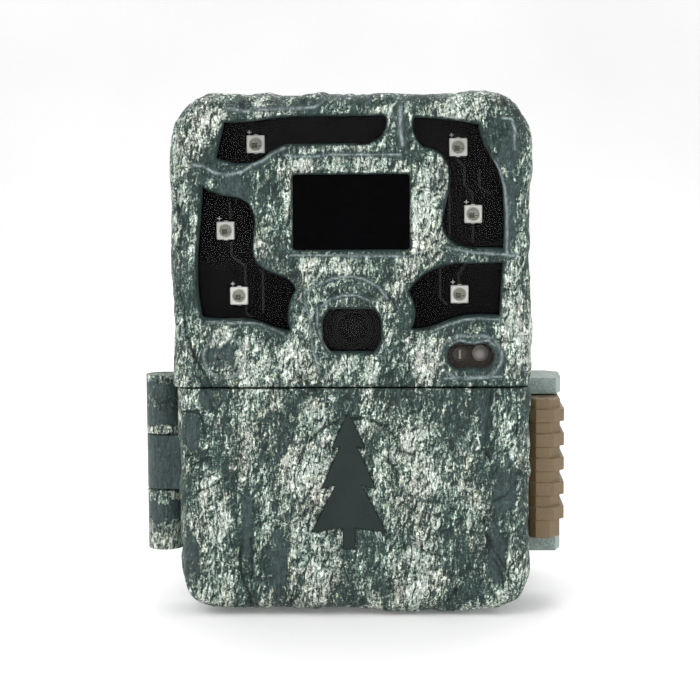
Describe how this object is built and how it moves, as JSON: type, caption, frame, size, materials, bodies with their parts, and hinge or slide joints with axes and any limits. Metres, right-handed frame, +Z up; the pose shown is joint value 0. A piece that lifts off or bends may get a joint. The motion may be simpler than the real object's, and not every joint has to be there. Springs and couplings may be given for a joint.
{
  "type": "trail camera",
  "caption": "Weatherproof bark-camouflaged wildlife camera with lamp windows, motion sensor, hinged latched door, battery tray and toothed tree bracket.",
  "frame": {"origin": "on the ground under the middle of the camera's bounding box", "axes": "+Z up, the lens and door face -Y, +X to the right seen from the front (latch side)"},
  "size_m": [0.104, 0.076, 0.127],
  "materials": {
    "camo_shell": "matte, tree-bark pattern in slate, mint and cream",
    "latch_plastic": "satin tan",
    "emblem": "matte dark green",
    "window": "smoked infrared-pass",
    "status_window": "smoked, glossy",
    "clear": "polished",
    "lens": "coated, polished",
    "black_plastic": "matte",
    "lamp_package": "matte off-white",
    "lamp_dome": "clear",
    "board": "black solder mask",
    "green_board": "green solder mask",
    "chip": "moulded",
    "steel": "brushed",
    "spring_steel": "nickel plated",
    "brass": "machined",
    "rubber": "soft",
    "panel_grey": "fine grain",
    "display": "glossy",
    "button": "soft light grey",
    "enter_button": "soft orange",
    "card": "matte blue",
    "ribbon": "amber film",
    "cell_can": "printed jacket",
    "metal_can": "bright",
    "tray_plastic": "matte"
  },
  "bodies": {
    "housing": {"board_chips": "chip", "bracket_pin": "steel", "case_gasket": "rubber", "case_screws": "steel", "control_board": "green_board", "control_panel": "panel_grey", "control_panel_screws": "steel", "dc_jack": "black_plastic", "display_cover": "clear", "display_panel": "display", "front_bezel": "camo_shell", "hinge_knuckles": "camo_shell", "hinge_pin": "steel", "image_sensor": "chip", "ir_window_left": "window", "ir_window_right": "window", "latch_ears": "camo_shell", "latch_pin": "steel", "led_board_left": "board", "led_board_right": "board", "led_domes": "lamp_dome", "led_packages": "lamp_package", "lens_barrel": "black_plastic", "lens_glass": "lens", "lens_holder": "black_plastic", "lens_shroud": "black_plastic", "lens_window": "clear", "light_sensor": "clear", "main_board": "green_board", "main_board_screws": "steel", "microphone": "metal_can", "pir_sensor": "metal_can", "pir_window": "window", "rear_housing": "camo_shell", "ribbon_cable": "ribbon", "sd_socket": "spring_steel", "sensor_board": "green_board", "sensor_board_screws": "steel", "status_board": "green_board", "status_led": "clear", "status_window": "status_window", "tripod_insert": "brass"},
    "door": {"door_shell": "camo_shell", "door_emblem": "emblem"},
    "latch": {"latch_lever": "latch_plastic"},
    "bracket": {"mount_bracket": "camo_shell"},
    "tray": {"battery_tray": "tray_plastic", "battery_cells": "cell_can", "battery_contacts": "spring_steel", "battery_hatch": "camo_shell", "hatch_seal": "rubber"},
    "card": {"sd_card": "card"},
    "switch": {"power_switch": "black_plastic"},
    "ir_filter": {"ir_cut_filter": "lens"},
    "jack_cover": {"dc_cover": "rubber"},
    "key_up": {"button_up": "button"},
    "key_down": {"button_down": "button"},
    "key_left": {"button_left": "button"},
    "key_right": {"button_right": "button"},
    "key_enter": {"button_enter": "enter_button"}
  },
  "joints": [
    {"name": "door_hinge", "type": "hinge", "parent": "housing", "child": "door", "pos_m": [-0.0477, -0.022, 0.035], "axis": [0, 0, -1], "range_deg": [0, 160]},
    {"name": "latch_swing", "type": "hinge", "parent": "housing", "child": "latch", "pos_m": [0.047, -0.0105, 0.035], "axis": [0, 0, 1], "range_deg": [0, 100]},
    {"name": "bracket_tilt", "type": "hinge", "parent": "housing", "child": "bracket", "pos_m": [0, 0.0304, 0.022], "axis": [-1, 0, 0], "range_deg": [0, 20]},
    {"name": "tray_slide", "type": "slide", "parent": "housing", "child": "tray", "axis": [0, 0, -1], "range_m": [0, 0.06]},
    {"name": "card_slide", "type": "slide", "parent": "housing", "child": "card", "axis": [1, 0, 0], "range_m": [0, 0.0035]},
    {"name": "switch_slide", "type": "slide", "parent": "housing", "child": "switch", "axis": [1, 0, 0], "range_m": [0, 0.006]},
    {"name": "filter_slide", "type": "slide", "parent": "housing", "child": "ir_filter", "axis": [1, 0, 0], "range_m": [0, 0.0055]},
    {"name": "jack_cover_pull", "type": "slide", "parent": "housing", "child": "jack_cover", "axis": [0, 0, -1], "range_m": [0, 0.006]},
    {"name": "press_up", "type": "slide", "parent": "housing", "child": "key_up", "axis": [0, 1, 0], "range_m": [0, 0.0006], "stiffness_N_per_m": 600, "springref_m": -0.0003},
    {"name": "press_down", "type": "slide", "parent": "housing", "child": "key_down", "axis": [0, 1, 0], "range_m": [0, 0.0006], "stiffness_N_per_m": 600, "springref_m": -0.0003},
    {"name": "press_left", "type": "slide", "parent": "housing", "child": "key_left", "axis": [0, 1, 0], "range_m": [0, 0.0006], "stiffness_N_per_m": 600, "springref_m": -0.0003},
    {"name": "press_right", "type": "slide", "parent": "housing", "child": "key_right", "axis": [0, 1, 0], "range_m": [0, 0.0006], "stiffness_N_per_m": 600, "springref_m": -0.0003},
    {"name": "press_enter", "type": "slide", "parent": "housing", "child": "key_enter", "axis": [0, 1, 0], "range_m": [0, 0.0006], "stiffness_N_per_m": 600, "springref_m": -0.0003}
  ]
}
